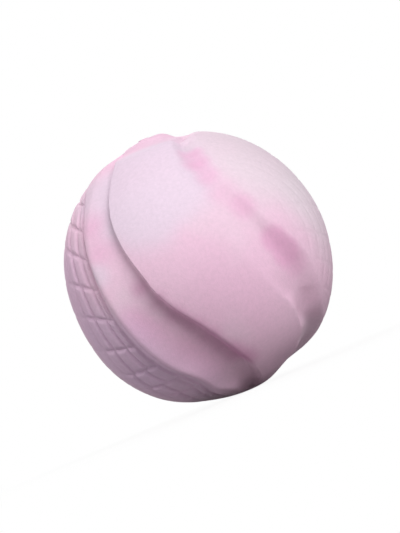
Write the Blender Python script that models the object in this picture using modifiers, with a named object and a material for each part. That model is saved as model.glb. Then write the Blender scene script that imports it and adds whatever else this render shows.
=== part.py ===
import math
import random
from collections import namedtuple
from functools import lru_cache

import bmesh
import bpy
import numpy as np
from mathutils import Matrix, Vector

# A squeaky rubber ball with a moulded swirl. Z is the pole axis, the origin is the ball's centre,
# and the vent and the squeaker are at the north pole. Lengths are in metres, angles in degrees.

# Ball
BALL_RADIUS = 0.0337
WALL = 0.0050
CLEARANCE = 0.0003

# Lip that locates the two halves at the seam
SEAM_LIP_HEIGHT = 0.0025
SEAM_LIP_THICKNESS = 0.0013

# Swirl relief, measured from the ball's radius
MM = 0.001
NORTH_POLE_HEIGHT = 0.0003
SOUTH_POLE_HEIGHT = -0.0001
NORTH_FADE = (78.0, 88.0)
SOUTH_FADE = (-74.0, -86.0)
COVE_WIDTH = 0.0014
PANEL_SETTLES_AT = 0.54
SHARP_SHOULDER = (5.0, -30.0)

# Raised cells of the panels' net
GROOVE_WIDTH = 0.0009
GROOVE_DEPTH = 0.00045
CELLS_REACH_TO = 55.0
CELL_UNEVENNESS = 0.09
CELL_ROWS = 3

# Vent through the north pole, and its raised lip
VENT_RADIUS = 0.0007
VENT_LIP_RADIUS = 0.0015
VENT_LIP_HEIGHT = 0.0006

# Neck that holds the squeaker inside the upper half
SKIN_OVER_SQUEAKER = 0.0038
NECK_WALL = 0.0027
NECK_LENGTH = 0.0115

# Squeaker
CUP_RADIUS = 0.0050
CUP_BORE = 0.0037
CUP_END_WALL = 0.0012
CUP_END_HOLE = 0.0015
FLANGE_RADIUS = 0.0076
FLANGE_THICKNESS = 0.0010
BEAD_HEIGHT = 0.0005
BEAD_LENGTH = 0.0014
BEAD_DOWN = 0.0055
CAP_RADIUS = 0.0050
CAP_THICKNESS = 0.0010
CAP_SPIGOT_LENGTH = 0.0022
CAP_HOLE_RADIUS = 0.0006
CAP_HOLE_CIRCLE = 0.0020
CAP_HOLES = 5
REED_WIDTH = 0.0030
REED_THICKNESS = 0.0002
REED_ROOT = 0.0025
REED_FREE_LENGTH = 0.0066
CHANNEL_WIDTH = 0.0018
CHANNEL_DEPTH = 0.0016
CHANNEL_FLOOR = 0.0012

# Smoothness
ROWS = 40
CAVITY_STEPS = 48
CAVITY_ARC_POINTS = 14
SMALL_STEPS = 32

# Places that follow from the sizes above
CAVITY_RADIUS = BALL_RADIUS - WALL
CUP_TOP = BALL_RADIUS + NORTH_POLE_HEIGHT - SKIN_OVER_SQUEAKER - CLEARANCE
NECK_BORE = CUP_RADIUS + CLEARANCE
NECK_RADIUS = NECK_BORE + NECK_WALL
NECK_END = CAVITY_RADIUS - NECK_LENGTH
FLANGE_TOP = NECK_END - CLEARANCE
FLANGE_BOTTOM = FLANGE_TOP - FLANGE_THICKNESS
CAP_TOP = FLANGE_BOTTOM - CLEARANCE
PLUG_RADIUS = CUP_BORE - CLEARANCE
PLUG_TOP = CUP_TOP - CUP_END_WALL - CLEARANCE
PLUG_BOTTOM = CAP_TOP + CAP_SPIGOT_LENGTH + CLEARANCE
REED_PIVOT = (0.0, REED_THICKNESS / 2, PLUG_TOP - CLEARANCE - REED_ROOT)

# The lips that start each band, as stations from south to north, in degrees and millimetres:
# latitude, longitude of the crest, width of the wall west of it, valley at the wall's foot, crest,
# share of the band after which it falls, and on the wide band its height there. Heights are over the
# ball's radius. Longitude 0 faces -Y and grows towards +X. Each lip is repeated half a turn round,
# where the panel has stations of its own near the poles.
NARROW_LIP = (
    (-90, -42, 1.6, -0.6, 0.3, 0.45), (-75, -37, 1.4, -0.7, 0.2, 0.45),
    (-70, -36, 1.9, -0.8, 0.3, 0.45), (-61, -28, 2, -1, 0.3, 0.45), (-53, -27, 2, -1.2, 0.3, 0.45),
    (-46, -30, 2.1, -1.3, 0.3, 0.45), (-40, -34, 2.2, -1.3, 0.3, 0.45),
    (-27, -38, 2.2, -1.3, 0.3, 0.45), (-15, -40, 2.2, -1.3, 0.3, 0.45),
    (-2, -42, 2.2, -1.3, 0.3, 0.45), (10, -44, 2.2, -1.3, 0.3, 0.45), (24, -47, 2.2, -1.2, 0.3, 0.45),
    (34, -49, 2, -1, 0.3, 0.45), (46, -53, 2, -0.8, 0.3, 0.45), (57, -63, 1.7, -0.6, 0.4, 0.45),
    (66, -64, 1.6, -0.7, 0.3, 0.45), (74, -66, 1.4, -0.9, -0.1, 0.45), (90, -74, 1.4, -0.6, 0.3, 0.45),
)
WIDE_LIP = (
    (-90, 34, 2, -1, 0.4, 0.7, 0), (-78, 26, 2, -1.4, 0, 0.7, -0.5),
    (-68, 19, 2.2, -1.7, 0.1, 0.64, -1.1), (-55, 10, 2.4, -1.9, 0.4, 0.54, 0.2),
    (-44, 3, 2.4, -1.9, 0.5, 0.67, 0.5), (-34, -3, 2.4, -1.9, 0.5, 0.67, 0.5),
    (-24, -9, 2.4, -1.8, 0.5, 0.64, 0.5), (-15, -15, 2.3, -1.8, 0.5, 0.65, 0.5),
    (-7, -19, 2.2, -1.7, 0.5, 0.68, 0.5), (3, -22, 2.2, -1.6, 0.5, 0.7, 0.5),
    (12, -25, 2.1, -1.6, 0.5, 0.72, 0.5), (19, -27, 2, -1.5, 0.5, 0.72, 0.5),
    (28, -29, 2, -1.4, 0.5, 0.74, 0.5), (37, -30, 1.9, -1.2, 0.5, 0.76, 0.5),
    (48, -30, 1.8, -1, 0.5, 0.8, 0.5), (60, -31, 1.6, -0.9, 0.7, 0.8, 0.7),
    (69, -40, 1.5, -0.9, -0.1, 0.8, -0.8), (75, -47, 1.5, -0.9, -0.5, 0.8, -0.8),
    (80, -60, 1.5, -0.7, 0.2, 0.8, 0.7), (90, -58, 1.5, -0.5, 0.4, 0.8, 0.4),
)
PANEL_LIP = (
    (-90, 133, 3, -1.6, 0.3), (-75, 126, 4, -1.8, 0), (-66, 124, 5, -1.9, -0.3),
    (-58, 109, 4.5, -1.9, 0.3), (-49, 87, 3, -1.9, 0.5), (-40, 68, 2.2, -1.9, 0.6),
    (-29, 59, 2.2, -1.9, 0.7), (-14, 50, 2.3, -1.8, 0.6), (-1, 40, 2.6, -1.4, 0.5),
    (8, 34, 3, -1, 0.3), (16, 31, 3.2, -0.8, 0.2), (27, 28, 3.4, -0.7, 0.1), (36, 28, 3.4, -0.8, 0.1),
    (43, 30, 3.4, -1, 0), (50, 35, 3.5, -1.2, 0), (57, 43, 3.6, -1.5, 0), (63, 54, 3.6, -1.8, 0),
    (68, 86, 4, -1.9, -0.1), (74, 105, 3.2, -1.7, -0.8), (90, 97, 2.6, -1, 0),
)
FAR_PANEL_STATIONS = (
    (-90, 100, 3, -1.6, 0.2), (-75, 100, 3, -1.6, 0.1), (-66, 97, 3, -1.7, 0.4),
    (-58, 94, 3, -1.8, 0.7), (-49, 86, 2.8, -1.9, 0.8), (63, 50, 3.5, -1.5, 0), (68, 56, 3.4, -1.4, 0),
    (74, 63, 3, -1.2, 0), (90, 72, 2.6, -1, 0),
)
PANEL_LEVEL = (
    (-90, 0), (-60, 0.2), (-49, 0.6), (-30, 0.3), (-15, -0.05), (0, -0.1), (14, -0.25), (25, -0.2),
    (59, 0.1), (90, -0.4),
)
FAR_PANEL_LEVEL = (
    (-90, 0), (-60, 0.2), (-49, 0.7), (-30, 0.25), (-15, -0.45), (0, -0.8), (14, -0.6), (25, -0.35),
    (59, 0.1), (90, -0.4),
)

FAR_STATIONS_AT = {station[0]: station for station in FAR_PANEL_STATIONS}
FAR_PANEL_LIP = tuple(FAR_STATIONS_AT.get(station[0], station) for station in PANEL_LIP)

# The bands from west to east: stations of the lip, half turns, and columns of faces up to where the
# band falls and beyond. On a panel the last column is the cove.
PANEL_COLUMNS = 13
BANDS = (
    (NARROW_LIP, 0, 2, 3), (WIDE_LIP, 0, 4, 5), (PANEL_LIP, 0, PANEL_COLUMNS, 1),
    (NARROW_LIP, 1, 2, 3), (WIDE_LIP, 1, 4, 5), (FAR_PANEL_LIP, 1, PANEL_COLUMNS, 1),
)

Lip = namedtuple("Lip", "longitude wall valley crest fall shoulder")


def smooth_step(x):
    x = min(max(x, 0.0), 1.0)
    return x * x * (3 - 2 * x)


def curve_at(stations, latitude, column=1):
    """A smooth curve through one column of the stations, at a latitude."""
    places, values = np.array([(s[0], s[column]) for s in stations], float).T
    slopes = np.gradient(values, places)
    latitude = min(max(latitude, places[0]), places[-1])
    i = min(max(int(np.searchsorted(places, latitude)) - 1, 0), len(places) - 2)
    width = places[i + 1] - places[i]
    t = (latitude - places[i]) / width
    return float(
        values[i] * (1 + 2 * t) * (1 - t) ** 2
        + slopes[i] * width * t * (1 - t) ** 2
        + values[i + 1] * t * t * (3 - 2 * t)
        + slopes[i + 1] * width * t * t * (t - 1)
    )


def metres_per_degree(latitude):
    """Length of a degree of longitude along a parallel, not below that at about 85 degrees."""
    return math.radians(BALL_RADIUS * max(math.cos(math.radians(latitude)), 0.08))


@lru_cache(maxsize=None)
def lip_at(band, latitude):
    """The lip that starts a band, counted on round the ball. Its wall is in degrees of longitude."""
    stations, half_turns, _, _ = BANDS[band % len(BANDS)]
    values = [curve_at(stations, latitude, k) for k in range(1, len(stations[0]))]
    longitude, wall, valley, crest = values[:4]
    slope = curve_at(stations, latitude + 0.5) - curve_at(stations, latitude - 0.5)
    square_on = max(1 / math.hypot(1, slope * math.cos(math.radians(latitude))), 0.35)
    return Lip(
        longitude=longitude + 180 * half_turns + 360 * (band // len(BANDS)),
        wall=wall * MM / square_on / metres_per_degree(latitude),
        valley=valley * MM,
        crest=crest * MM,
        fall=values[4] if len(values) > 4 else None,
        shoulder=values[5] * MM if len(values) > 5 else crest * MM,
    )


def swirl_columns():
    """One entry for each line of vertices round the ball: (band, how many columns across it)."""
    counts = [before + beyond for _, _, before, beyond in BANDS]
    return [(band, across) for band, count in enumerate(counts) for across in range(count + 1)]


def is_panel(band):
    return BANDS[band][2] == PANEL_COLUMNS


def share_at(band, across, latitude):
    """How far across the band from its crest to the next lip's foot a line of vertices lies."""
    _, _, before, beyond = BANDS[band]
    turn = lip_at(band, latitude).fall
    if is_panel(band):
        turn = max(1 - COVE_WIDTH / metres_per_degree(latitude) / width_at(band, latitude), 0.7)
    if across <= before:
        return turn * across / before
    return turn + (1 - turn) * (across - before) / beyond


def width_at(band, latitude):
    """Degrees of longitude from a band's crest to the foot of the next lip's wall."""
    gap = lip_at(band + 1, latitude).longitude - lip_at(band, latitude).longitude
    return gap - min(lip_at(band + 1, latitude).wall, 0.3 * gap)


def relief(band, share, latitude):
    """Height over the ball's radius, which evens out to the poles' own heights."""
    lip, valley = lip_at(band, latitude), lip_at(band + 1, latitude).valley
    if is_panel(band):
        level = curve_at(FAR_PANEL_LEVEL if BANDS[band][1] else PANEL_LEVEL, latitude) * MM
        height = lip.crest + (level - lip.crest) * smooth_step((share - 0.04) / (PANEL_SETTLES_AT - 0.04))
        to_foot = (1 - share) * width_at(band, latitude) * metres_per_degree(latitude)
        height += (valley - height) * smooth_step(1 - to_foot / COVE_WIDTH)
    else:
        height = lip.crest + (lip.shoulder - lip.crest) * smooth_step(share / lip.fall)
        down = max(share - lip.fall, 0) / (1 - lip.fall)
        start, end = SHARP_SHOULDER
        sharp = smooth_step((latitude - start) / (end - start)) if BANDS[band][0] is WIDE_LIP else 0
        height += (valley - height) * ((1 - sharp) * smooth_step(down) + sharp * (1 - (1 - down) ** 2.2))
    fade, pole = (NORTH_FADE, NORTH_POLE_HEIGHT) if latitude > 0 else (SOUTH_FADE, SOUTH_POLE_HEIGHT)
    return height + (pole - height) * smooth_step((latitude - fade[0]) / (fade[1] - fade[0]))


def on_ball(latitude, longitude, radius):
    lat, lon = math.radians(latitude), math.radians(longitude)
    flat = math.cos(lat) * radius
    return Vector((flat * math.sin(lon), -flat * math.cos(lon), radius * math.sin(lat)))


def swirl_ball():
    """The outer surface of the whole ball as one closed mesh, with the panels' cells raised."""
    columns = swirl_columns()
    step = 180 / ROWS
    bm = bmesh.new()
    bmesh.ops.create_uvsphere(bm, u_segments=len(columns), v_segments=ROWS, radius=1)
    bm.verts.ensure_lookup_table()

    place = {}
    for v in bm.verts:
        row = round(math.degrees(math.asin(max(-1, min(1, v.co.z)))) / step)
        turn = math.degrees(math.atan2(v.co.x, -v.co.y)) % 360
        place[v] = (round(turn / 360 * len(columns)) % len(columns), row)

    cells = {}
    for face in bm.faces:
        rows = sorted({place[v][1] for v in face.verts})
        ks = sorted({place[v][0] for v in face.verts})
        band, across = columns[ks[-1] if ks[0] == 0 and ks[-1] == len(columns) - 1 else ks[0]]
        is_cell = is_panel(band) and 1 <= across < PANEL_COLUMNS
        if is_cell and max(abs(rows[0]), abs(rows[-1])) * step < CELLS_REACH_TO:
            cells.setdefault((band, across, rows[0] // CELL_ROWS), []).append(face)

    rng = random.Random(11)
    for v in bm.verts:
        k, row = place[v]
        uneven_lat, uneven_share = rng.uniform(-1, 1), rng.uniform(-1, 1)
        if abs(row) == ROWS // 2:
            height = NORTH_POLE_HEIGHT if row > 0 else SOUTH_POLE_HEIGHT
            v.co = Vector((0, 0, math.copysign(BALL_RADIUS + height, row)))
            continue
        band, across = columns[k]
        latitude = row * step
        share = share_at(band, across, latitude)
        sunk = 0.0
        if is_panel(band) and 1 <= across <= PANEL_COLUMNS and abs(latitude) < CELLS_REACH_TO:
            sunk = GROOVE_DEPTH
            if 2 <= across < PANEL_COLUMNS and row:
                latitude += uneven_lat * CELL_UNEVENNESS * step
                share += uneven_share * CELL_UNEVENNESS / PANEL_COLUMNS
        longitude = lip_at(band, latitude).longitude + share * width_at(band, latitude)
        v.co = on_ball(latitude, longitude, BALL_RADIUS + relief(band, share, latitude) - sunk)
    bm.normal_update()
    for cell in cells.values():
        bmesh.ops.inset_region(bm, faces=cell, thickness=GROOVE_WIDTH / 2, depth=GROOVE_DEPTH,
                               use_boundary=True, use_even_offset=True)
    return bm


def half_ball(whole, side):
    """The half of the ball above (side 1) or below (side -1) the seam, closed by a flat face."""
    bm = whole.copy()
    bmesh.ops.bisect_plane(bm, geom=bm.verts[:] + bm.edges[:] + bm.faces[:], dist=1e-5,
                           plane_co=(0, 0, 0), plane_no=(0, 0, side), clear_inner=True)
    for v in bm.verts:
        if abs(v.co.z) < 1e-5:
            v.co.z = side * CLEARANCE / 2
    bmesh.ops.holes_fill(bm, edges=[e for e in bm.edges if e.is_boundary], sides=0)
    bmesh.ops.recalc_face_normals(bm, faces=bm.faces)
    return bm


def add_object(name, bm, collection, location=(0, 0, 0)):
    mesh = bpy.data.meshes.new(name)
    bm.to_mesh(mesh)
    bm.free()
    obj = bpy.data.objects.new(name, mesh)
    obj.location = location
    collection.objects.link(obj)
    return obj


def round_off(obj, angle=35):
    obj.data.shade_smooth()
    obj.data.set_sharp_from_angle(angle=math.radians(angle))


def add_turned(name, profile, collection, steps, closed=True):
    """A profile of (radius, height) points, run down its outer side, turned about Z by a Screw."""
    bm = bmesh.new()
    verts = [bm.verts.new((r, 0, z)) for r, z in profile]
    ends = verts[1:] + (verts[:1] if closed else [])
    for a, b in zip(verts, ends):
        bm.edges.new((a, b))
    obj = add_object(name, bm, collection)
    screw = obj.modifiers.new("turn", "SCREW")
    screw.axis = "Z"
    screw.steps = screw.render_steps = steps
    screw.use_merge_vertices = True
    screw.merge_threshold = 1e-6
    screw.use_smooth_shade = False
    return obj


def add_cylinder(name, radius, low, high, collection, centre=(0, 0), segments=SMALL_STEPS):
    bm = bmesh.new()
    middle = Matrix.Translation((centre[0], centre[1], (low + high) / 2))
    bmesh.ops.create_cone(bm, cap_ends=True, segments=segments, radius1=radius, radius2=radius,
                          depth=high - low, matrix=middle)
    return add_object(name, bm, collection)


def add_box(name, low, high, collection):
    low, high = Vector(low), Vector(high)
    bm = bmesh.new()
    size = Matrix.Diagonal((*(high - low), 1))
    bmesh.ops.create_cube(bm, size=1, matrix=Matrix.Translation((low + high) / 2) @ size)
    return add_object(name, bm, collection)


def add_boolean(obj, cutter, operation="DIFFERENCE"):
    boolean = obj.modifiers.new(cutter.name, "BOOLEAN")
    boolean.operation = operation
    boolean.solver = "EXACT"
    boolean.object = cutter
    cutter.hide_render = True
    cutter.display_type = "WIRE"


def add_material(obj, colour, roughness, metallic=0.0):
    material = bpy.data.materials.new(obj.name)
    material.use_nodes = True
    shader = material.node_tree.nodes["Principled BSDF"]
    shader.inputs["Base Color"].default_value = (*colour, 1)
    shader.inputs["Roughness"].default_value = roughness
    shader.inputs["Metallic"].default_value = metallic
    material.diffuse_color = (*colour, 1)
    obj.data.materials.append(material)


def bead_profile(radius, height, length, middle, points=6):
    """A rounded bead on a cylinder, from its upper edge to its lower edge."""
    turns = [math.pi * k / points for k in range(points + 1)]
    return [(radius + height * math.sin(a), middle + length / 2 * math.cos(a)) for a in turns]


def cavity_arc(start, end):
    """Points on the cavity's sphere between two heights."""
    a, b = math.asin(start / CAVITY_RADIUS), math.asin(end / CAVITY_RADIUS)
    turns = [a + (b - a) * k / CAVITY_ARC_POINTS for k in range(CAVITY_ARC_POINTS + 1)]
    return [(CAVITY_RADIUS * math.cos(t), CAVITY_RADIUS * math.sin(t)) for t in turns]


def build_upper_shell(whole, parts, cutters):
    shell = add_object("upper_shell", half_ball(whole, 1), parts)

    # Raised lip round the vent
    pole = BALL_RADIUS + NORTH_POLE_HEIGHT
    lip_top = pole + VENT_LIP_HEIGHT
    vent_lip = add_cylinder("vent_lip", VENT_LIP_RADIUS, pole - WALL / 4, lip_top, cutters, segments=24)
    add_boolean(shell, vent_lip, "UNION")

    # Hollow, with the neck left standing round the squeaker's bore
    bead_middle = CUP_TOP - BEAD_DOWN
    neck_root = math.sqrt(CAVITY_RADIUS**2 - NECK_RADIUS**2)
    rebate = CAVITY_RADIUS + SEAM_LIP_THICKNESS + CLEARANCE
    rebate_top = SEAM_LIP_HEIGHT + CLEARANCE
    groove = bead_profile(NECK_BORE, BEAD_HEIGHT, BEAD_LENGTH + 2 * CLEARANCE, bead_middle)
    hollow = [(0, CUP_TOP + CLEARANCE), (NECK_BORE, CUP_TOP + CLEARANCE)]
    hollow += groove
    hollow += [(NECK_BORE, NECK_END), (NECK_RADIUS, NECK_END)]
    hollow += cavity_arc(neck_root, rebate_top)
    hollow += [(rebate, rebate_top), (rebate, -WALL / 2), (0, -WALL / 2)]
    cavity = add_turned("upper_hollow", hollow, cutters, CAVITY_STEPS, closed=False)
    add_boolean(shell, cavity)

    vent = add_cylinder("vent", VENT_RADIUS, CUP_TOP, lip_top + VENT_LIP_HEIGHT, cutters, segments=16)
    add_boolean(shell, vent)
    round_off(shell)
    add_material(shell, (0.80, 0.56, 0.70), 0.85)
    return shell


def build_lower_shell(whole, parts, cutters):
    shell = add_object("lower_shell", half_ball(whole, -1), parts)
    radius = CAVITY_RADIUS + SEAM_LIP_THICKNESS
    seam_lip = add_cylinder("seam_lip", radius, -WALL / 2, SEAM_LIP_HEIGHT, cutters, segments=CAVITY_STEPS)
    add_boolean(shell, seam_lip, "UNION")
    top = SEAM_LIP_HEIGHT + CLEARANCE
    hollow = [(0, top), (CAVITY_RADIUS, top)]
    hollow += cavity_arc(0, -CAVITY_RADIUS)[:-1]
    hollow += [(0, -CAVITY_RADIUS)]
    add_boolean(shell, add_turned("lower_hollow", hollow, cutters, CAVITY_STEPS, closed=False))
    round_off(shell)
    add_material(shell, (0.74, 0.48, 0.64), 0.85)
    return shell


def build_squeaker_cup(parts):
    profile = [(CUP_END_HOLE, CUP_TOP), (CUP_RADIUS, CUP_TOP)]
    profile += bead_profile(CUP_RADIUS, BEAD_HEIGHT, BEAD_LENGTH, CUP_TOP - BEAD_DOWN)
    profile += [(CUP_RADIUS, FLANGE_TOP), (FLANGE_RADIUS, FLANGE_TOP), (FLANGE_RADIUS, FLANGE_BOTTOM)]
    under = CUP_TOP - CUP_END_WALL
    profile += [(CUP_BORE, FLANGE_BOTTOM), (CUP_BORE, under), (CUP_END_HOLE, under)]
    cup = add_turned("squeaker_cup", profile, parts, SMALL_STEPS)
    round_off(cup)
    add_material(cup, (0.90, 0.90, 0.88), 0.40)
    return cup


def build_squeaker_cap(parts, cutters):
    spigot_top = CAP_TOP + CAP_SPIGOT_LENGTH
    bottom = CAP_TOP - CAP_THICKNESS
    profile = [(0, spigot_top), (PLUG_RADIUS, spigot_top), (PLUG_RADIUS, CAP_TOP), (CAP_RADIUS, CAP_TOP)]
    profile += [(CAP_RADIUS, bottom), (0, bottom)]
    cap = add_turned("squeaker_cap", profile, parts, SMALL_STEPS, closed=False)
    for k in range(CAP_HOLES):
        turn = 2 * math.pi * k / CAP_HOLES
        centre = (CAP_HOLE_CIRCLE * math.cos(turn), CAP_HOLE_CIRCLE * math.sin(turn))
        hole = add_cylinder(f"cap_hole_{k + 1}", CAP_HOLE_RADIUS, bottom - CAP_THICKNESS,
                            spigot_top + CAP_THICKNESS, cutters, centre, segments=16)
        add_boolean(cap, hole)
    round_off(cap)
    add_material(cap, (0.90, 0.90, 0.88), 0.40)
    return cap


def add_half_plug(name, flat, side, low, high, parts):
    """A half-round plug in the cup's bore: side -1 keeps what lies at smaller y than its flat."""
    plug = add_cylinder(name, PLUG_RADIUS, low, high, parts)
    bm = bmesh.new()
    bm.from_mesh(plug.data)
    bmesh.ops.bisect_plane(bm, geom=bm.verts[:] + bm.edges[:] + bm.faces[:], dist=1e-7,
                           plane_co=(0, flat, 0), plane_no=(0, side, 0), clear_inner=True)
    bmesh.ops.holes_fill(bm, edges=[e for e in bm.edges if e.is_boundary], sides=0)
    bmesh.ops.recalc_face_normals(bm, faces=bm.faces)
    bm.to_mesh(plug.data)
    bm.free()
    return plug


def build_reed_carrier(parts, cutters):
    flat = -CLEARANCE
    carrier = add_half_plug("reed_carrier", flat, -1, PLUG_BOTTOM, PLUG_TOP, parts)
    low = (-CHANNEL_WIDTH / 2, flat - CHANNEL_DEPTH, PLUG_BOTTOM + CHANNEL_FLOOR)
    high = (CHANNEL_WIDTH / 2, flat + CHANNEL_DEPTH, PLUG_TOP + CHANNEL_FLOOR)
    add_boolean(carrier, add_box("reed_channel", low, high, cutters))
    round_off(carrier)
    add_material(carrier, (0.85, 0.85, 0.83), 0.45)
    return carrier


def build_reed_wedge(parts):
    flat = REED_THICKNESS + CLEARANCE
    wedge = add_half_plug("reed_wedge", flat, 1, REED_PIVOT[2], PLUG_TOP, parts)
    round_off(wedge)
    add_material(wedge, (0.85, 0.85, 0.83), 0.45)
    return wedge


def build_reed(parts):
    """The strip's origin is on its hinge axis, at the wedge's lower edge."""
    half = Vector((REED_WIDTH / 2, REED_THICKNESS / 2, 0))
    reed = add_box("reed", -half - Vector((0, 0, REED_FREE_LENGTH)), half + Vector((0, 0, REED_ROOT)), parts)
    reed.location = REED_PIVOT
    add_material(reed, (0.80, 0.58, 0.25), 0.30, 1.0)
    return reed


def main():
    for obj in list(bpy.data.objects):
        bpy.data.objects.remove(obj)
    parts = bpy.data.collections.new("dog_toy_ball")
    cutters = bpy.data.collections.new("cutters")
    for collection in (parts, cutters):
        bpy.context.scene.collection.children.link(collection)

    whole = swirl_ball()
    build_upper_shell(whole, parts, cutters)
    build_lower_shell(whole, parts, cutters)
    whole.free()
    build_squeaker_cup(parts)
    build_squeaker_cap(parts, cutters)
    build_reed_carrier(parts, cutters)
    build_reed_wedge(parts)
    build_reed(parts)


main()
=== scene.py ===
import math

import bmesh
import bpy
import numpy as np
from mathutils import Matrix, Vector


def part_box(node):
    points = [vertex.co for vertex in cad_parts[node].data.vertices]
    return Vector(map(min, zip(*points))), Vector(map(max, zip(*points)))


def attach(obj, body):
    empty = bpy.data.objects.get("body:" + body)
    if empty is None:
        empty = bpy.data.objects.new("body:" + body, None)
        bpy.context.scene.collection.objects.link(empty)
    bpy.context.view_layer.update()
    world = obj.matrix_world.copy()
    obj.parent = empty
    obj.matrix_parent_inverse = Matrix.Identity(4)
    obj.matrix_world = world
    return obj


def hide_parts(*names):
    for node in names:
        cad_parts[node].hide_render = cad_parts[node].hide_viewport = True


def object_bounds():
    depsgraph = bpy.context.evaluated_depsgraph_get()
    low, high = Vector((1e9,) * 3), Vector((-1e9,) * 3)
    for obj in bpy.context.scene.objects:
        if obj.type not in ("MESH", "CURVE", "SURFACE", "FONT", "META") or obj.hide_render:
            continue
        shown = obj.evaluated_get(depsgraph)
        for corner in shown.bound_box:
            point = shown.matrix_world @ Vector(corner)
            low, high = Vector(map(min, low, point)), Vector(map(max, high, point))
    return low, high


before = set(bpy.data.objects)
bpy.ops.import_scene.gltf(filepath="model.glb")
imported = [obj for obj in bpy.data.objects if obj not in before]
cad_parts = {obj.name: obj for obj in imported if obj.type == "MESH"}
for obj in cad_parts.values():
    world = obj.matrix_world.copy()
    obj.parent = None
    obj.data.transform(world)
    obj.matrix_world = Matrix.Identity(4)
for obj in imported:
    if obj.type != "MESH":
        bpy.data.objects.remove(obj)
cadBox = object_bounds()
mm = 0.001
print("frame loaded")

# Marbled rubber ball with a moulded swirl. Z is the pole axis and the vent is at the north pole.
# Longitude 0 faces -Y and grows towards +X. Heights are in mm over the ball's radius.
ball = {
    "radius": 33.67,
    "poleHeights": (-0.07, 0.33), # south and north
    "northFade": (78, 88),     # latitudes over which the swirl evens out towards a pole
    "southFade": (-74, -86),
    "rows": 302,
    "columns": {"narrow": 16, "wide": 40, "panel": 158, "wall": 10},
    "seamGap": 0.002,
    "leastCosine": 0.08,       # keeps the columns apart at the poles
}

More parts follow.
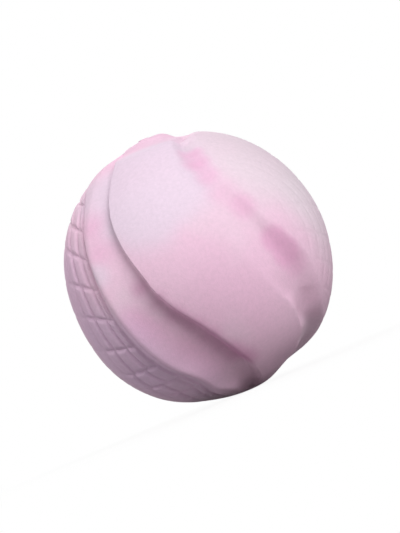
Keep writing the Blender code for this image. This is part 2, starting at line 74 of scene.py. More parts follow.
# One row per latitude: latitude, longitude of the crest, width of the wall west of it, height of the
# valley at the wall's foot, height of the crest, share of the band where it starts to fall, crispness,
# and on the wide band the height that it has where it starts to fall
swirl = {
    "narrow": [
        (-90, -42, 1.6, -0.6, 0.3, 0.45, 0.3), (-75, -37, 1.4, -0.7, 0.2, 0.45, 0.3),
        (-70, -36, 1.9, -0.8, 0.3, 0.45, 0.3), (-61, -28, 2.7, -1, 0.3, 0.05, 0.2),
        (-53, -27, 3.2, -1.2, 0.3, 0.03, 0.2), (-46, -30, 3.4, -1.3, 0.5, 0.03, 0.2),
        (-40, -34, 3.5, -1.3, 0.5, 0.03, 0.2), (-27, -38, 3.5, -1.3, 0.5, 0.03, 0.2),
        (-15, -40, 3.3, -1.3, 0.5, 0.04, 0.2), (-2, -42, 3, -1.3, 0.5, 0.06, 0.2),
        (10, -44, 2.5, -1.3, 0.5, 0.08, 0.2), (24, -47, 2.2, -1.2, 0.4, 0.12, 0.2),
        (34, -49, 2, -1, 0.3, 0.2, 0.2), (46, -53, 2, -0.8, 0.3, 0.3, 0.2),
        (57, -63, 1.7, -0.6, 0.4, 0.45, 0.1), (66, -64, 1.6, -0.7, 0.3, 0.45, 0.1),
        (74, -66, 1.4, -0.9, -0.1, 0.45, 0.1), (90, -74, 1.4, -0.6, 0.3, 0.45, 0.1),
    ],
    "wide": [
        (-90, 34, 2, -1, 0.4, 0.7, 0.5, 0), (-78, 26, 2, -1.4, 0, 0.7, 0.6, -0.5),
        (-68, 19, 2, -1.8, 0.1, 0.64, 0.5, -1.1), (-55, 10, 2.2, -2.4, 0.4, 0.59, 0.3, 0.2),
        (-44, 3, 2.3, -2.8, 0.5, 0.79, 0.1, 0.5), (-34, -3, 2.4, -2.9, 0.5, 0.77, 0.1, 0.5),
        (-24, -9, 2.3, -2.8, 0.5, 0.72, 0.1, 0.5), (-15, -15, 2.1, -2.5, 0.5, 0.71, 0.1, 0.5),
        (-7, -19, 1.6, -2.1, 0.5, 0.72, 0.2, 0.5), (3, -22, 1.2, -1.8, 0.5, 0.71, 0.6, 0.5),
        (12, -25, 1.2, -1.7, 0.5, 0.72, 0.6, 0.5), (19, -27, 1.2, -1.6, 0.5, 0.72, 0.6, 0.5),
        (28, -29, 1.1, -1.4, 0.5, 0.74, 0.6, 0.5), (37, -30, 1, -1.1, 0.5, 0.76, 0.7, 0.5),
        (48, -30, 1, -0.9, 0.5, 0.8, 0.6, 0.5), (60, -31, 1.6, -0.9, 0.7, 0.8, 0.4, 0.7),
        (69, -40, 1.5, -0.9, -0.1, 0.8, 0.2, -0.8), (75, -47, 1.5, -0.9, -0.5, 0.8, 0.1, -0.8),
        (80, -60, 1.5, -0.7, 0.2, 0.8, 0.1, 0.7), (90, -58, 1.5, -0.5, 0.4, 0.8, 0.1, 0.4),
    ],
    "panel": [
        (-90, 133, 3, -1.6, 0.3, 0.1, 0.2), (-75, 126, 4, -1.8, 0, 0.1, 0.2),
        (-66, 124, 5, -1.9, -0.3, 0.1, 0.2), (-58, 109, 4.5, -1.9, 0.3, 0.1, 0.3),
        (-49, 87, 4.2, -1.9, 0.5, 0.1, 0.4), (-40, 68, 4.4, -2.4, 0.6, 0.1, 0.5),
        (-29, 59, 5.4, -2.2, 0.7, 0.1, 0.5), (-14, 50, 5.2, -1.8, 0.6, 0.1, 0.4),
        (-1, 40, 4, -1.4, 0.5, 0.1, 0.2), (8, 34, 3.2, -1, 0.3, 0.1, 0.1),
        (16, 31, 2.8, -0.8, 0.2, 0.1, 0), (27, 28, 2.8, -0.7, 0.1, 0.1, 0),
        (36, 28, 2.8, -0.8, 0.1, 0.1, 0), (43, 30, 3.1, -1, 0, 0.1, 0), (50, 35, 3.5, -1.2, 0, 0.1, 0),
        (57, 43, 3.6, -1.5, 0, 0.1, 0), (63, 54, 3.6, -1.8, 0, 0.1, 0),
        (68, 86, 4, -1.9, -0.1, 0.1, 0), (74, 105, 3.2, -1.7, -0.8, 0.1, 0),
        (90, 97, 2.6, -1, 0, 0.1, 0),
    ],
    "farPanel": [
        (-90, 100, 3, -1.6, 0.2, 0.1, 0.2), (-75, 100, 3, -1.6, 0.1, 0.1, 0.2),
        (-66, 97, 3, -1.7, 0.4, 0.1, 0.2), (-58, 94, 3, -1.8, 0.7, 0.1, 0.3),
        (-49, 86, 2.8, -1.9, 0.8, 0.1, 0.4), (63, 50, 3.5, -1.5, 0, 0.1, 0),
        (68, 56, 3.4, -1.4, 0, 0.1, 0), (74, 63, 3, -1.2, 0, 0.1, 0), (90, 72, 2.6, -1, 0, 0.1, 0),
    ],
    "panelLevel": [
        (-90, 0), (-60, 0.2), (-49, 0.6), (-30, 0.3), (-15, -0.05), (0, -0.1), (14, -0.25), (25, -0.2),
        (59, 0.1), (90, -0.4),
    ],
    "farLevel": [
        (-90, 0), (-60, 0.2), (-49, 0.7), (-30, 0.25), (-15, -0.45), (0, -0.8), (14, -0.6),
        (25, -0.35), (59, 0.1), (90, -0.4),
    ],
    "widestWall": 0.3,         # share of the way between two crests
    "leastSquareOn": 0.35,     # limits how far a slanting lip widens its wall
    "levelShare": (0.04, 0.54), # share of the panel over which it goes from its crest to its level
    "rimReach": 10,            # mm over which the panel sinks towards its east edge
    "rimRise": 0.45,           # mm from the next valley up to that edge
    "coveWidth": 0.7,          # mm over which the edge drops into the valley
    "sharpRidge": (5, -30),    # latitudes over which the wide band's east shoulder turns crisp
    "sharpPower": 2.2,
    "hollowSlope": (30, -15),  # latitudes over which the narrow band's slope turns hollow
    "hollowPower": (1.4, 2.1), # before and after
}
bands = ("narrow", "wide", "panel")
farRows = {row[0]: row for row in swirl["farPanel"]}
swirl["farPanel"] = [farRows.get(row[0], row) for row in swirl["panel"]]
lips = ("narrow", "wide", "panel", "narrow", "wide", "farPanel")

# Net of raised cells on the panels. The cross-lines are given where they meet the panel's two sides,
# and lengths are in mm. Where there are two rows, 2 is the front panel and 5 the far one.
net = {
    "eastLatitudes": (-75, -66, -57, -47, -36, -24, -10, 4, 18, 32, 46, 60, 74),
    "westLatitudes": (-66, -56, -43, -30, -17, -3.5, 9.5, 23, 36.5, 50, 61, 71, 80),
    "eastSlopes": (0.1, 0.1, 0.1, 0.05, 0, -0.18, -0.45, -0.6, -0.75, -0.6, -0.4, -0.3, -0.2),
    "westSlope": -0.25,
    "span": 97,                # degrees of longitude across a panel, for the slopes
    "south": (-72, -68),       # latitudes over which the net sets in
    "north": {2: (30, 46), 5: (56, 62)}, # and ends
    "spacing": 4.3,
    "firstLine": (2.1, 2.4, 1.9, 4.4, 3.2, 2.8, 2.1, 2.6, 3.3, 2.2, 2.9),
    "startEast": (0.3, 0.9),   # from the cove's foot
    "startWest": (1.2, 2.7),   # from the crest
    "grooveReach": 0.55,
    "grooveDepth": 0.55,
    "pillowReach": 1.1,
    "pillow": 0.1,
    # From the crest: up to where the net is worn, from where it is whole, and what the wear leaves of it
    "worn": {2: (32, 46, 0.15), 5: (2, 9, 0.3)},
    # From the cove's foot: from where it gets fainter, up to where, and what is left of it there
    "faint": {2: (9, 16, 1), 5: (8, 14, 0.15)},
}


def smoothStep(x):
    x = np.clip(x, 0, 1)
    return x * x * (3 - 2 * x)


# 0 up to start and 1 from end on, in either direction
def ramp(x, start, end):
    return smoothStep((x - start) / (end - start))


# Smooth curve through the points, which are in order of their first number
def curveAt(points, x, column=1):
    px, py = np.array([(p[0], p[column]) for p in points], float).T
    slope = np.gradient(py, px)
    x = np.clip(x, px[0], px[-1])
    i = np.clip(np.searchsorted(px, x) - 1, 0, len(px) - 2)
    width = px[i + 1] - px[i]
    t = (x - px[i]) / width
    return (py[i] * (1 + 2 * t) * (1 - t) ** 2 + slope[i] * width * t * (1 - t) ** 2
            + py[i + 1] * t * t * (3 - 2 * t) + slope[i + 1] * width * t * t * (t - 1))


# Degrees of longitude that a length in mm takes along a parallel
def degreesEast(latitude, length):
    cosine = np.maximum(np.cos(np.radians(latitude)), ball["leastCosine"])
    return np.degrees(length / (ball["radius"] * cosine))


# Crest's longitude, wall in degrees, valley, crest, start of the band's fall and crispness of a lip
def lipAt(k, latitude):
    table = swirl[lips[k % 6]]
    crest = curveAt(table, latitude)
    slant = (curveAt(table, latitude + 0.5) - curveAt(table, latitude - 0.5)) * np.cos(np.radians(latitude))
    squareOn = np.maximum(1 / np.sqrt(1 + slant ** 2), swirl["leastSquareOn"])
    wall = degreesEast(latitude, curveAt(table, latitude, 2) / squareOn)
    rest = [curveAt(table, latitude, c) for c in (3, 4, 5, 6)]
    return [crest + 180 * (k // 3), wall, *rest]


# 1 where the swirl is full, 0 at the poles
def swirlLeft(latitude):
    return 1 - ramp(latitude, *ball["northFade"]) - ramp(latitude, *ball["southFade"])


# Height that the net adds on a panel. westOf and eastOf are mm to the crest and to the cove's foot
def netOffset(k, latitude, share, westOf, eastOf):
    t = share
    east, west = np.array(net["eastLatitudes"]), np.array(net["westLatitudes"])
    span = net["span"] * np.cos(np.radians(east))
    lines = (west * (1 + 2 * t) * (1 - t) ** 2 + net["westSlope"] * span * t * (1 - t) ** 2
             + east * t * t * (3 - 2 * t) + np.array(net["eastSlopes"]) * span * t * t * (t - 1))
    order = np.arange(len(lines))
    lines = np.maximum.accumulate(lines + order * 1e-6)
    n = np.interp(latitude, lines, order)
    gap = np.interp(n, order, np.gradient(lines)) * ball["radius"] * math.pi / 180
    toCross = np.abs(n - np.round(n)) * gap
    first = np.array(net["firstLine"])[np.floor(n).astype(int) % len(net["firstLine"])]
    along = (eastOf - first) / net["spacing"]
    toAlong = np.where(along < -0.5, 9.0, np.abs(along - np.round(along)) * net["spacing"])
    near = np.minimum(toCross, toAlong)
    there = ramp(eastOf, *net["startEast"]) * ramp(westOf, *net["startWest"])
    there = there * ramp(latitude, *net["south"]) * (1 - ramp(latitude, *net["north"][k]))
    start, end, left = net["worn"][k]
    there = there * (left + (1 - left) * ramp(westOf, start, end))
    start, end, left = net["faint"][k]
    there = there * (1 - (1 - left) * ramp(eastOf, start, end))
    pillow = net["pillow"] * (1 - np.exp(-((near / net["pillowReach"]) ** 2)))
    return there * (pillow - net["grooveDepth"] * np.exp(-((near / net["grooveReach"]) ** 2)))


# Longitudes and heights of one line of vertices: the part "band" runs from a crest to the next foot
def columnAt(k, part, share, latitude):
    lon, _, _, crest, fallAt, _ = lipAt(k, latitude)
    nextLon, nextWall, nextValley, nextCrest, _, crisp = lipAt(k + 1, latitude)
    nextWall = np.minimum(nextWall, swirl["widestWall"] * (nextLon - lon))
    foot = nextLon - nextWall
    band = bands[k % 3]
    if part == "wall":
        at = foot + share * nextWall
        rise = crisp * share ** 2 * (3 - share) / 2 + (1 - crisp) * smoothStep(share)
        height = nextValley + (nextCrest - nextValley) * rise
    else:
        at = lon + share * (foot - lon)
        toMm = np.cos(np.radians(latitude)) * ball["radius"] * math.pi / 180
        if band == "panel":
            level = curveAt(swirl["panelLevel" if k == 2 else "farLevel"], latitude)
            height = crest + (level - crest) * ramp(share, *swirl["levelShare"])
            toFoot = (foot - at) * toMm
            height += (nextValley + swirl["rimRise"] - height) * ramp(toFoot, swirl["rimReach"], 0)
            height += (nextValley - height) * ramp(toFoot, swirl["coveWidth"], 0)
            height += netOffset(k, latitude, share, (at - lon) * toMm, toFoot)
        else:
            fall = np.clip((share - fallAt) / (1 - fallAt), 0, 1)
            if band == "wide":
                sharp = ramp(latitude, *swirl["sharpRidge"])
                fall = (1 - sharp) * smoothStep(fall) + sharp * (1 - (1 - fall) ** swirl["sharpPower"])
            else:
                low, high = swirl["hollowPower"]
                fall = 1 - (1 - fall) ** (low + (high - low) * ramp(latitude, *swirl["hollowSlope"]))
            shoulder = curveAt(swirl["wide"], latitude, 7) if band == "wide" else crest
            height = crest + (shoulder - crest) * smoothStep(share / fallAt)
            height += (nextValley - height) * fall
    left = swirlLeft(latitude)
    pole = np.where(latitude > 0, ball["poleHeights"][1], ball["poleHeights"][0])
    return at, pole * (1 - left) + height * left


def columnList():
    found = []
    for k in range(6):
        for part, count in (("band", ball["columns"][bands[k % 3]]), ("wall", ball["columns"]["wall"])):
            found += [(k, part, i / count) for i in range(count)]
    return found


# Vent in the middle of a rounded boss at the north pole
vent = {
    "bossHeight": 0.6,
    "bossEdge": (1.5, 1.34),   # radii over which the boss rises
    "boreEdge": (0.84, 0.70),  # and over which it rounds into the bore
    "rounding": 0.25,          # share of its height that the rounding takes off
    # radii of the rows of vertices round the bore
    "rings": (0.70, 0.74, 0.84, 1.0, 1.2, 1.36, 1.46, 1.52, 1.6, 1.75, 2.0, 2.3, 2.7, 3.2, 3.8, 4.5,
              5.2, 6.0, 6.9),
}

# The hollow inside, with the neck that holds the squeaker and the lip that locates the halves
hollow = {
    "cavity": 28.7,
    "lipHeight": 2.5,
    "lipThickness": 1.3,
    "gap": 0.3,
    "neckWall": 2.7,
    "neckLength": 11.5,
    "boreRadius": 5.3,         # the squeaker cup and its gap
    "beadHeight": 0.5,
    "beadLength": 2.0,
    "beadDown": 5.5,
    "steps": 96,
}


# Turns a profile of (radius, height) in mm about Z
def spinProfile(bm, profile):
    verts = [bm.verts.new((r * mm, 0, z * mm)) for r, z in profile]
    edges = [bm.edges.new(pair) for pair in zip(verts, verts[1:])]
    bmesh.ops.spin(bm, geom=verts + edges, cent=(0, 0, 0), axis=(0, 0, 1), angle=2 * math.pi,
                   steps=hollow["steps"], use_merge=True)


# Points on the cavity's sphere between two heights
def arcPoints(start, end, count=24):
    a, b = math.asin(start / hollow["cavity"]), math.asin(end / hollow["cavity"])
    turns = [a + (b - a) * i / count for i in range(count + 1)]
    return [(hollow["cavity"] * math.cos(t), hollow["cavity"] * math.sin(t)) for t in turns]


# Outer skin of one half: a grid whose columns are laid along the swirl and closed round the ball
def laySkin(bm, side):
    columns, rows = columnList(), ball["rows"] // 2
    latitudes = np.linspace(0, 90, rows + 1)
    if side > 0:
        rings = np.array(vent["rings"])
        latitudes[:-1 - len(rings):-1] = np.degrees(np.arccos(rings / ball["radius"]))
    latitudes = side * latitudes
    places = np.array([columnAt(k, part, share, latitudes) for k, part, share in columns])
    longitude, height = places[:, 0], places[:, 1]
    if side > 0:
        reach = ball["radius"] * np.cos(np.radians(latitudes))
        boss = ramp(reach, *vent["bossEdge"]) * (1 - vent["rounding"] * ramp(reach, *vent["boreEdge"]))
        height = height + boss * vent["bossHeight"]
    skin = bmesh.ops.create_grid(bm, x_segments=len(columns), y_segments=rows, size=1)["verts"]
    for v in skin:
        i, j = round((v.co.x + 1) / 2 * len(columns)) % len(columns), round((v.co.y + 1) / 2 * rows)
        radius = (ball["radius"] + height[i, j]) * mm
        la, lo = math.radians(latitudes[j]), math.radians(longitude[i, j])
        flat = radius * math.cos(la) if j < rows or side > 0 else 0
        z = radius * math.sin(la) if j else side * ball["seamGap"] / 2 * mm
        v.co = (flat * math.sin(lo), -flat * math.cos(lo), z)


# One moulded half: the outer skin, the flat seam and the hollow, in one closed mesh
def makeHalf(name, side):
    bm = bmesh.new()
    seam = side * ball["seamGap"] / 2
    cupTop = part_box("squeaker_cup")[1].z / mm
    roof = cupTop + hollow["gap"]
    if side > 0:
        bore = hollow["boreRadius"]
        neck = bore + hollow["neckWall"]
        root = math.sqrt(hollow["cavity"] ** 2 - neck ** 2)
        neckEnd = hollow["cavity"] - hollow["neckLength"]
        rebate = hollow["cavity"] + hollow["lipThickness"] + hollow["gap"]
        top = hollow["lipHeight"] + hollow["gap"]
        middle = cupTop - hollow["beadDown"]
        bead = [(bore + hollow["beadHeight"] * math.sin(a), middle + hollow["beadLength"] / 2 * math.cos(a))
                for a in (math.pi * i / 8 for i in range(9))]
        profile = [(bore, roof), *bead, (bore, neckEnd), (neck, neckEnd), *arcPoints(root, top),
                   (rebate, top), (rebate, seam)]
    else:
        outer = hollow["cavity"] + hollow["lipThickness"]
        profile = [(outer, seam), (outer, hollow["lipHeight"]), (hollow["cavity"], hollow["lipHeight"]),
                   *arcPoints(0, -hollow["cavity"])]
    spinProfile(bm, profile)
    laySkin(bm, side)
    bmesh.ops.remove_doubles(bm, verts=bm.verts, dist=1e-7)
    if side > 0:    # the vent, from its boss down to the squeaker's seat
        mouth = [e for e in bm.edges if e.is_boundary and e.verts[0].co.z > (roof + 1) * mm]
        for v in bmesh.ops.extrude_edge_only(bm, edges=mouth)["geom"]:
            if isinstance(v, bmesh.types.BMVert):
                v.co.z = roof * mm
    for level in (seam * mm, roof * mm):
        rims = [e for e in bm.edges if e.is_boundary and all(abs(v.co.z - level) < 1e-6 for v in e.verts)]
        if rims:
            bmesh.ops.triangle_fill(bm, edges=rims, use_beauty=True)
    bmesh.ops.recalc_face_normals(bm, faces=bm.faces)
    for face in bm.faces:
        face.smooth = True
    for edge in bm.edges:
        edge.smooth = edge.calc_face_angle(0) < math.radians(40)
    print(name, "open edges:", sum(e.is_boundary for e in bm.edges), "faces:", len(bm.faces))
    mesh = bpy.data.meshes.new(name)
    bm.to_mesh(mesh)
    bm.free()
    piece = bpy.data.objects.new(name, mesh)
    bpy.context.scene.collection.objects.link(piece)
    return piece


upperSkin, lowerSkin = makeHalf("upperSkin", 1), makeHalf("lowerSkin", -1)
for piece, node in ((upperSkin, "upper_shell"), (lowerSkin, "lower_shell")):
    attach(piece, "ball")
    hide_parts(node)
print("skins made")


# Materials
# sRGB hex to linear
def fromHex(colour):
    channels = [int(colour[i:i + 2], 16) / 255 for i in (0, 2, 4)]
    return (*[c / 12.92 if c <= 0.04045 else ((c + 0.055) / 1.055) ** 2.4 for c in channels], 1)


def addNode(tree, kind, settings=None, links=None, **attributes):
    node = tree.nodes.new("ShaderNode" + kind)
    for name, value in attributes.items():
        setattr(node, name, value)
    for socket, value in (settings or {}).items():
        node.inputs[socket].default_value = value
    for socket, source in (links or {}).items():
        tree.links.new(source, node.inputs[socket])
    return node


# 1 for what the camera sees, straight or by a mirror or glass
def seenByCamera(tree, path):
    seen = path.outputs["Is Camera Ray"]
    for ray in ("Is Glossy Ray", "Is Transmission Ray"):
        seen = addNode(tree, "Math", {}, {0: seen, 1: path.outputs[ray]}, operation="MAXIMUM").outputs[0]
    return seen


def newMaterial(name):
    material = bpy.data.materials.new(name)
    material.use_nodes = True
    tree = material.node_tree
    return material, tree, tree.nodes["Principled BSDF"]


def onBall(latitude, longitude):
    la, lo, r = math.radians(latitude), math.radians(longitude), ball["radius"] * mm
    return (r * math.cos(la) * math.sin(lo), -r * math.cos(la) * math.cos(lo), r * math.sin(la))


# Natural rubber, press-moulded from two batches of pigment, so pink swirls into white. The mould was
# blasted, and the surface has the dull bloom of chalk. Some placed clouds are painted shade, not pigment:
# the plum ones in the valley west of the wide band's crest, and the deep pink ones on the narrow band's
# slope.
rubber = {
    "pink": "F0C9DF",
    "white": "E8DAE3",
    "deepPink": "E9B2D2",
    "lavender": "E7D3E4",
    "mauve": "E3C3E0",
    # painted shade colour, for the clouds that darken the valley
    "paintedShadePlum": "CC84B0",
    "cloudMm": 26,
    "cloudRange": (0.42, 0.6), # of the cloud noise, over which pink turns to white
    "marbling": 0.28,          # how far the pale streaks go from pink to white
    "warpMm": 5,
    "warpNoiseMm": 14,
    "cloudWarp": 0.35,         # share of the warp that the placed clouds take
    "speckleMm": 0.9,
    "speckleTone": (0.955, 1.03),
    "grainMm": 0.35,
    "grainDepth": 0.096,
    "roughness": 0.82,
    "roughnessSpread": 0.06,
    # latitude, longitude, radius in mm, softness in mm, colour, strength
    "clouds": [
        (42, -8, 16, 4, "lavender", 0.9),
        (24, -12, 9, 4, "lavender", 0.8),
        (26, 8, 6, 4, "lavender", 0.6),
        (62, 20, 8, 4, "lavender", 0.5),
        (34, 62, 17, 6, "white", 0.7),
        (6, 72, 11, 5, "white", 0.6),
        (47, 24, 2.2, 2, "deepPink", 0.9),
        (40, 22, 2.4, 2, "deepPink", 0.8),
        (32, 22, 2.6, 2, "deepPink", 0.6),
        (22, 24, 3, 3, "deepPink", 0.4),
        (13, 29, 3, 2, "deepPink", 0.6),
        (-5, 36, 3.4, 1.4, "deepPink", 0.9),
        (-12, 40, 3.8, 1.4, "deepPink", 0.9),
        (-18, 44, 3.2, 2, "deepPink", 0.6),
        (31, -42, 3.4, 3, "deepPink", 0.6),
        (19, -39, 3.4, 3, "deepPink", 0.6),
        (48, -52, 5, 3, "lavender", 0.6),
        (9, -42, 2.6, 2, "lavender", 0.7),
        (-22, 8, 12, 9, "deepPink", 0.3),
        # Painted shade: these deep pink clouds tint the narrow band's slope for the pinker light thrown
        # round in the valley's shade
        (-28, -33, 6, 4, "deepPink", 0.3),
        (-13, -35, 4, 3, "deepPink", 0.7),
        (-20, -32, 4, 3, "deepPink", 0.6),
        (-37, -24, 5, 4, "deepPink", 0.5),
        (-47, -17, 5, 4, "deepPink", 0.5),
        # Painted shade: these plum clouds darken and tint the valley west of the wide band's crest for
        # shadow that falls in it
        (-2, -26, 2, 2.5, "paintedShadePlum", 0.7),
        (-10, -22, 2.6, 2.5, "paintedShadePlum", 0.7),
        (-18, -18, 3, 2.5, "paintedShadePlum", 0.7),
        (-26, -13, 3, 2.5, "paintedShadePlum", 0.7),
        (-34, -8, 3, 2.5, "paintedShadePlum", 0.7),
        (-42, -2, 3, 2.5, "paintedShadePlum", 0.7),
        (-50, 3, 3, 2.5, "paintedShadePlum", 0.7),
        (8, -76, 13, 6, "mauve", 0.5),
        (-25, -58, 13, 6, "mauve", 0.7),
        (-52, -50, 11, 6, "mauve", 0.5),
    ],
}


def rubberMaterial():
    material, tree, shader = newMaterial("mouldedMarbledRubber")
    place = addNode(tree, "TexCoord").outputs["Object"]
    warpNoise = addNode(tree, "TexNoise", {"Scale": 1 / (rubber["warpNoiseMm"] * mm), "Detail": 3,
                                           "Roughness": 0.5}, {"Vector": place})
    centred = addNode(tree, "VectorMath", {1: (0.5, 0.5, 0.5)}, {0: warpNoise.outputs["Color"]},
                      operation="SUBTRACT")
    shift = addNode(tree, "VectorMath", {"Scale": 2 * rubber["warpMm"] * mm}, {0: centred.outputs[0]},
                    operation="SCALE").outputs[0]
    warped = addNode(tree, "VectorMath", {}, {0: place, 1: shift}, operation="ADD").outputs[0]
    marble = addNode(tree, "TexNoise", {"Scale": 1 / (rubber["cloudMm"] * mm), "Detail": 2,
                                        "Roughness": 0.45}, {"Vector": warped})
    low, high = rubber["cloudRange"]
    share = addNode(tree, "MapRange", {"From Min": low, "From Max": high, "To Max": rubber["marbling"]},
                    {"Value": marble.outputs["Fac"]}, interpolation_type="SMOOTHSTEP")
    colour = addNode(tree, "Mix", {6: fromHex(rubber["pink"]), 7: fromHex(rubber["white"])},
                     {0: share.outputs[0]}, data_type="RGBA").outputs[2]
    slightly = addNode(tree, "VectorMath", {1: (rubber["cloudWarp"],) * 3}, {0: shift, 2: place},
                       operation="MULTIPLY_ADD").outputs[0]
    for latitude, longitude, radius, soft, name, strength in rubber["clouds"]:
        away = addNode(tree, "VectorMath", {1: onBall(latitude, longitude)}, {0: slightly},
                       operation="DISTANCE")
        inside = addNode(tree, "MapRange", {"From Min": (radius + soft) * mm,
                                            "From Max": max(radius - soft, 0) * mm, "To Max": strength},
                         {"Value": away.outputs["Value"]}, interpolation_type="SMOOTHSTEP")
        colour = addNode(tree, "Mix", {7: fromHex(rubber[name])}, {0: inside.outputs[0], 6: colour},
                         data_type="RGBA").outputs[2]
    # Fine speckle of the filler in the rubber
    speckle = addNode(tree, "TexNoise", {"Scale": 1 / (rubber["speckleMm"] * mm), "Detail": 3,
                                         "Roughness": 0.6}, {"Vector": place}).outputs["Fac"]
    dark, light = rubber["speckleTone"]
    tone = addNode(tree, "MapRange", {"From Min": 0.3, "From Max": 0.7, "To Min": dark, "To Max": light},
                   {"Value": speckle})
    colour = addNode(tree, "VectorMath", {}, {0: colour, "Scale": tone.outputs[0]}, operation="SCALE")
    tree.links.new(colour.outputs[0], shader.inputs["Base Color"])
    grain = addNode(tree, "TexNoise", {"Scale": 1 / (rubber["grainMm"] * mm), "Detail": 2,
                                       "Roughness": 0.55}, {"Vector": place})
    bump = addNode(tree, "Bump", {"Strength": 0.5, "Distance": rubber["grainDepth"] * mm},
                   {"Height": grain.outputs["Fac"]})
    tree.links.new(bump.outputs[0], shader.inputs["Normal"])
    rough, spread = rubber["roughness"], rubber["roughnessSpread"]
    dull = addNode(tree, "MapRange", {"From Min": 0.3, "From Max": 0.7, "To Min": rough - spread,
                                      "To Max": rough + spread}, {"Value": speckle})
    tree.links.new(dull.outputs[0], shader.inputs["Roughness"])
    shader.inputs["IOR"].default_value = 1.5
    shader.inputs["Specular IOR Level"].default_value = 0.3
    return material


# Injection-moulded polypropylene, milky white, with the faint ripple of a plain steel mould.
plastic = {"colour": "ECEBE4", "shade": "E0DED4", "rippleMm": 1.6, "rippleDepth": 0.02, "roughness": 0.38}


def plasticMaterial():
    material, tree, shader = newMaterial("mouldedWhitePolypropylene")
    place = addNode(tree, "TexCoord").outputs["Object"]
    ripple = addNode(tree, "TexNoise", {"Scale": 1 / (plastic["rippleMm"] * mm), "Detail": 3},
                     {"Vector": place})
    colour = addNode(tree, "Mix", {6: fromHex(plastic["shade"]), 7: fromHex(plastic["colour"])},
                     {0: ripple.outputs["Fac"]}, data_type="RGBA")
    tree.links.new(colour.outputs[2], shader.inputs["Base Color"])
    bump = addNode(tree, "Bump", {"Strength": 0.2, "Distance": plastic["rippleDepth"] * mm},
                   {"Height": ripple.outputs["Fac"]})
    tree.links.new(bump.outputs[0], shader.inputs["Normal"])
    shader.inputs["Roughness"].default_value = plastic["roughness"]
    shader.inputs["IOR"].default_value = 1.49
    return material


# Cold-rolled brass strip: bright, with fine lines along the rolling direction, which is up the reed.
brass = {"colour": "D9B565", "dark": "B8924A", "lineMm": 0.05, "lineDepth": 0.004, "roughness": 0.28}


def brassMaterial():
    material, tree, shader = newMaterial("coldRolledBrass")
    place = addNode(tree, "TexCoord").outputs["Object"]
    along = addNode(tree, "Mapping", {"Scale": (1, 1, 0.02)}, {"Vector": place})
    lines = addNode(tree, "TexNoise", {"Scale": 1 / (brass["lineMm"] * mm), "Detail": 2},
                    {"Vector": along.outputs[0]})
    colour = addNode(tree, "Mix", {6: fromHex(brass["dark"]), 7: fromHex(brass["colour"])},
                     {0: lines.outputs["Fac"]}, data_type="RGBA")
    tree.links.new(colour.outputs[2], shader.inputs["Base Color"])
    bump = addNode(tree, "Bump", {"Strength": 0.15, "Distance": brass["lineDepth"] * mm},
                   {"Height": lines.outputs["Fac"]})
    tree.links.new(bump.outputs[0], shader.inputs["Normal"])
    shader.inputs["Metallic"].default_value = 1
    shader.inputs["Roughness"].default_value = brass["roughness"]
    return material


def dress(piece, material):
    piece.data.materials.clear()
    piece.data.materials.append(material)


rubberLook, plasticLook, brassLook = rubberMaterial(), plasticMaterial(), brassMaterial()
for piece in (upperSkin, lowerSkin):
    dress(piece, rubberLook)
for node in ("squeaker_cup", "squeaker_cap", "reed_carrier", "reed_wedge"):
    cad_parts[node].data.materials[0] = plasticLook
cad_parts["reed"].data.materials[0] = brassLook
print("materials made")

# Floor, lamps and camera
studio = {
    "floorSize": 6.0,
    "floorSeen": "F4F4F4",     # colour to the camera, and to the light that it throws back
    "floorFelt": "969696",
    "floorWhite": (0.92, 1.0), # share of it that shows as plain white to the camera, near and far
    "floorFade": (0.04, 0.13), # distance from the ball over which that share grows
    "worldLight": 0.12,
    "lampDistance": 0.75,
    "lampSize": 0.5,
    # name, direction from the ball, power in watts
    "lamps": [
        ("keyLamp", (0.44, -0.77, 0.46), 5.0),
        ("fillLamp", (-0.72, -0.16, 0.68), 2.2),
        ("backLamp", (-0.10, 0.85, 0.50), 2.2),
    ],
}
camera = {
    "distance": 0.50,
    "elevation": -3.0,
    "roll": 23.0,              # the ball's pole leans this far to the left in the picture
    "ballPx": 134.7,           # radius of the ball in a picture of 400 x 533
    "centrePx": (197.05, 266.06),
    "picture": (400, 533),
}


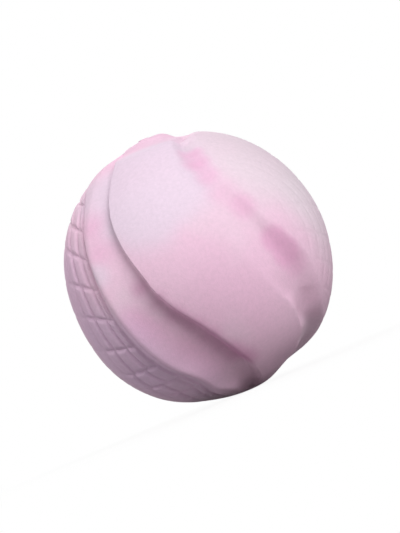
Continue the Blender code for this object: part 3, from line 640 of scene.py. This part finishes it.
def makeFloor():
    bm = bmesh.new()
    bmesh.ops.create_grid(bm, x_segments=1, y_segments=1, size=studio["floorSize"] / 2)
    mesh = bpy.data.meshes.new("floor")
    bm.to_mesh(mesh)
    bm.free()
    floor = bpy.data.objects.new("floor", mesh)
    floor.location.z = cadBox[0].z
    bpy.context.scene.collection.objects.link(floor)
    material, tree, shader = newMaterial("paleMattFloor")
    shader.inputs["Roughness"].default_value = 0.9
    path = addNode(tree, "LightPath")
    colour = addNode(tree, "Mix", {6: fromHex(studio["floorFelt"]), 7: fromHex(studio["floorSeen"])},
                     {0: path.outputs["Is Camera Ray"]}, data_type="RGBA")
    tree.links.new(colour.outputs[2], shader.inputs["Base Color"])
    near, far = studio["floorFade"]
    place = addNode(tree, "TexCoord").outputs["Object"]
    away = addNode(tree, "VectorMath", {}, {0: place}, operation="LENGTH")
    share = addNode(tree, "MapRange", {"From Min": near, "From Max": far, "To Min": studio["floorWhite"][0],
                                       "To Max": studio["floorWhite"][1]}, {"Value": away.outputs["Value"]})
    part = addNode(tree, "Math", {}, {0: seenByCamera(tree, path), 1: share.outputs[0]},
                   operation="MULTIPLY")
    white = addNode(tree, "Emission", {"Color": (1, 1, 1, 1), "Strength": 1})
    mixed = addNode(tree, "MixShader", {}, {0: part.outputs[0], 1: shader.outputs[0], 2: white.outputs[0]})
    tree.links.new(mixed.outputs[0], tree.nodes["Material Output"].inputs["Surface"])
    mesh.materials.append(material)


def makeWorld():
    world = bpy.data.worlds.new("studio")
    world.use_nodes = True
    tree = world.node_tree
    back = tree.nodes["Background"]
    back.inputs["Color"].default_value = (1, 1, 1, 1)
    seen = seenByCamera(tree, addNode(tree, "LightPath"))
    level = addNode(tree, "MapRange", {"To Min": studio["worldLight"], "To Max": 1}, {"Value": seen})
    tree.links.new(level.outputs[0], back.inputs["Strength"])
    bpy.context.scene.world = world


def makeLamp(name, direction, power):
    data = bpy.data.lights.new(name, "AREA")
    data.shape = "DISK"
    data.size = studio["lampSize"]
    data.energy = power
    lamp = bpy.data.objects.new(name, data)
    away = Vector(direction).normalized()
    lamp.location = away * studio["lampDistance"]
    lamp.rotation_euler = away.to_track_quat("Z", "Y").to_euler()
    bpy.context.scene.collection.objects.link(lamp)


def makeCamera():
    e, roll = math.radians(camera["elevation"]), math.radians(camera["roll"])
    back = Vector((0, -math.cos(e), math.sin(e)))
    right = Vector((1, 0, 0))
    up = back.cross(right)
    pictureRight = right * math.cos(roll) - up * math.sin(roll)
    pictureUp = right * math.sin(roll) + up * math.cos(roll)
    data = bpy.data.cameras.new("camera")
    data.sensor_width = 36
    longSide = max(camera["picture"])
    focalPx = camera["ballPx"] / math.tan(math.asin(ball["radius"] * mm / camera["distance"]))
    data.lens = focalPx / longSide * data.sensor_width
    data.shift_x = (camera["picture"][0] / 2 - camera["centrePx"][0]) / longSide
    data.shift_y = (camera["centrePx"][1] - camera["picture"][1] / 2) / longSide
    data.clip_start, data.clip_end = 0.01, 20
    obj = bpy.data.objects.new("camera", data)
    obj.matrix_world = Matrix.Translation(back * camera["distance"]) @ Matrix(
        (pictureRight, pictureUp, back)).transposed().to_4x4()
    bpy.context.scene.collection.objects.link(obj)
    bpy.context.scene.camera = obj


makeFloor()
makeWorld()
for name, direction, power in studio["lamps"]:
    makeLamp(name, direction, power)
makeCamera()
bpy.context.scene.view_settings.view_transform = "Standard"
print("studio made")
